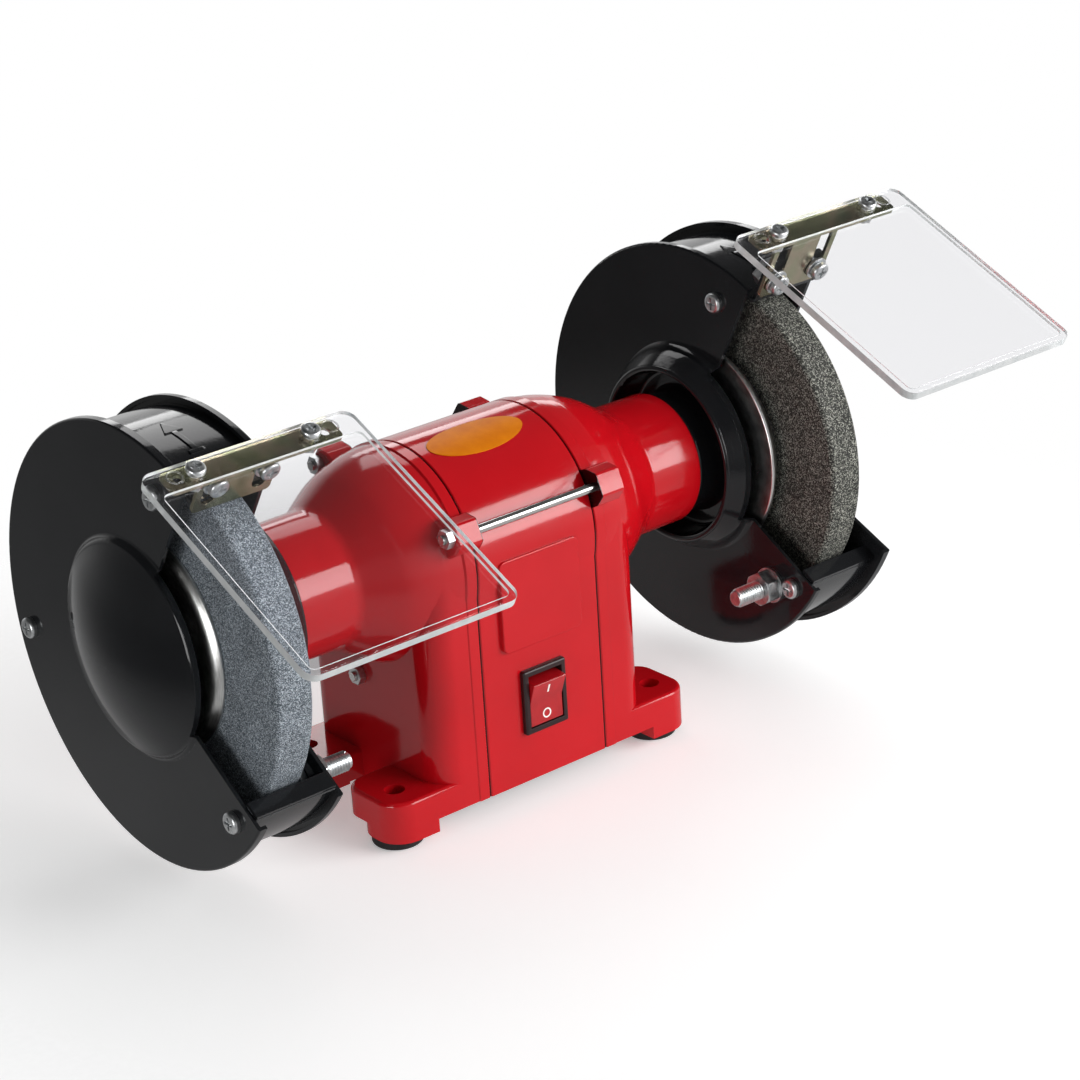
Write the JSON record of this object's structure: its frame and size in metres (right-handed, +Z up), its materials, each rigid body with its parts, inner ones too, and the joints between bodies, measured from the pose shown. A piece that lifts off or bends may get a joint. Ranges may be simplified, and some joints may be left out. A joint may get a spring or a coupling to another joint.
{
  "type": "bench grinder",
  "caption": "Double-ended bench grinder: red motor housing on a footed base, black guards around grinding wheels, clear sliding eye shields and a rocker switch.",
  "frame": {"origin": "on the bench under the spindle, at the centre of the mounting holes in the feet", "axes": "+X along the spindle to the right-hand wheel, -Y to the front where the operator stands, +Z up"},
  "size_m": [0.3668, 0.2435, 0.215],
  "materials": {
    "red_paint": "gloss enamel on cast aluminium",
    "black_paint": "gloss black enamel on sheet steel",
    "left_grit": "fine vitrified grit, blue-grey",
    "right_grit": "coarse vitrified grit, dark grey",
    "bright_zinc": "bright zinc plate",
    "yellow_zinc": "yellow passivated zinc on sheet steel",
    "steel": "machined steel",
    "clear_acrylic": "clear moulded acrylic",
    "rubber": "moulded rubber",
    "bezel_plastic": "black moulded plastic",
    "rocker_plastic": "translucent red moulded plastic",
    "sticker": "bare orange vinyl",
    "laminations": "stacked electrical steel",
    "copper": "varnished copper wire",
    "cage": "die-cast",
    "can": "drawn can",
    "blades": "stamped"
  },
  "bodies": {
    "housing": {"stator_shell": "red_paint", "left_end_bell": "red_paint", "right_end_bell": "red_paint", "tie_rods": "bright_zinc", "tie_rod_nuts": "bright_zinc", "label_plate": "sticker", "rubber_feet": "rubber", "base_plate": "black_paint", "base_plate_screws": "bright_zinc", "stator_core": "laminations", "stator_windings": "copper", "bearing_outer_rings": "steel", "capacitor": "can", "capacitor_clamp": "bright_zinc", "cord_grommet": "rubber", "switch_housing": "bezel_plastic", "switch_terminals": "blades", "left_guard_plate": "black_paint", "left_guard_band": "black_paint", "left_guard_cover": "black_paint", "left_guard_screws": "bright_zinc", "left_guard_nuts": "bright_zinc", "left_hub_screws": "bright_zinc", "left_rest_stud": "bright_zinc", "left_rest_nut": "bright_zinc", "left_clamp_screws": "bright_zinc", "right_guard_plate": "black_paint", "right_guard_band": "black_paint", "right_guard_cover": "black_paint", "right_guard_screws": "bright_zinc", "right_guard_nuts": "bright_zinc", "right_hub_screws": "bright_zinc", "right_rest_stud": "bright_zinc", "right_rest_nut": "bright_zinc", "right_clamp_screws": "bright_zinc"},
    "spindle": {"shaft": "steel", "rotor_core": "laminations", "rotor_cage": "cage", "bearing_inner_rings": "steel", "bearing_balls": "steel", "left_wheel": "left_grit", "left_inner_flange": "steel", "left_outer_flange": "steel", "left_spindle_nut": "bright_zinc", "right_wheel": "right_grit", "right_inner_flange": "steel", "right_outer_flange": "steel", "right_spindle_nut": "bright_zinc"},
    "rocker": {"switch_rocker": "rocker_plastic"},
    "left_shield": {"left_shield_bracket": "yellow_zinc", "left_eye_shield": "clear_acrylic", "left_shield_screws": "bright_zinc"},
    "right_shield": {"right_shield_bracket": "yellow_zinc", "right_eye_shield": "clear_acrylic", "right_shield_screws": "bright_zinc"}
  },
  "joints": [
    {"name": "spindle_spin", "type": "hinge", "parent": "housing", "child": "spindle", "pos_m": [0, 0, 0.1045], "axis": [1, 0, 0], "continuous": true},
    {"name": "rocker_tilt", "type": "hinge", "parent": "housing", "child": "rocker", "pos_m": [-0.001, -0.0385, 0.0445], "axis": [-1, 0, 0], "range_deg": [0, 20]},
    {"name": "left_shield_slide", "type": "slide", "parent": "housing", "child": "left_shield", "axis": [0, -0.5225, 0.8526], "range_m": [0, 0.008]},
    {"name": "right_shield_slide", "type": "slide", "parent": "housing", "child": "right_shield", "axis": [0, -0.4617, 0.887], "range_m": [-0.008, 0]}
  ]
}
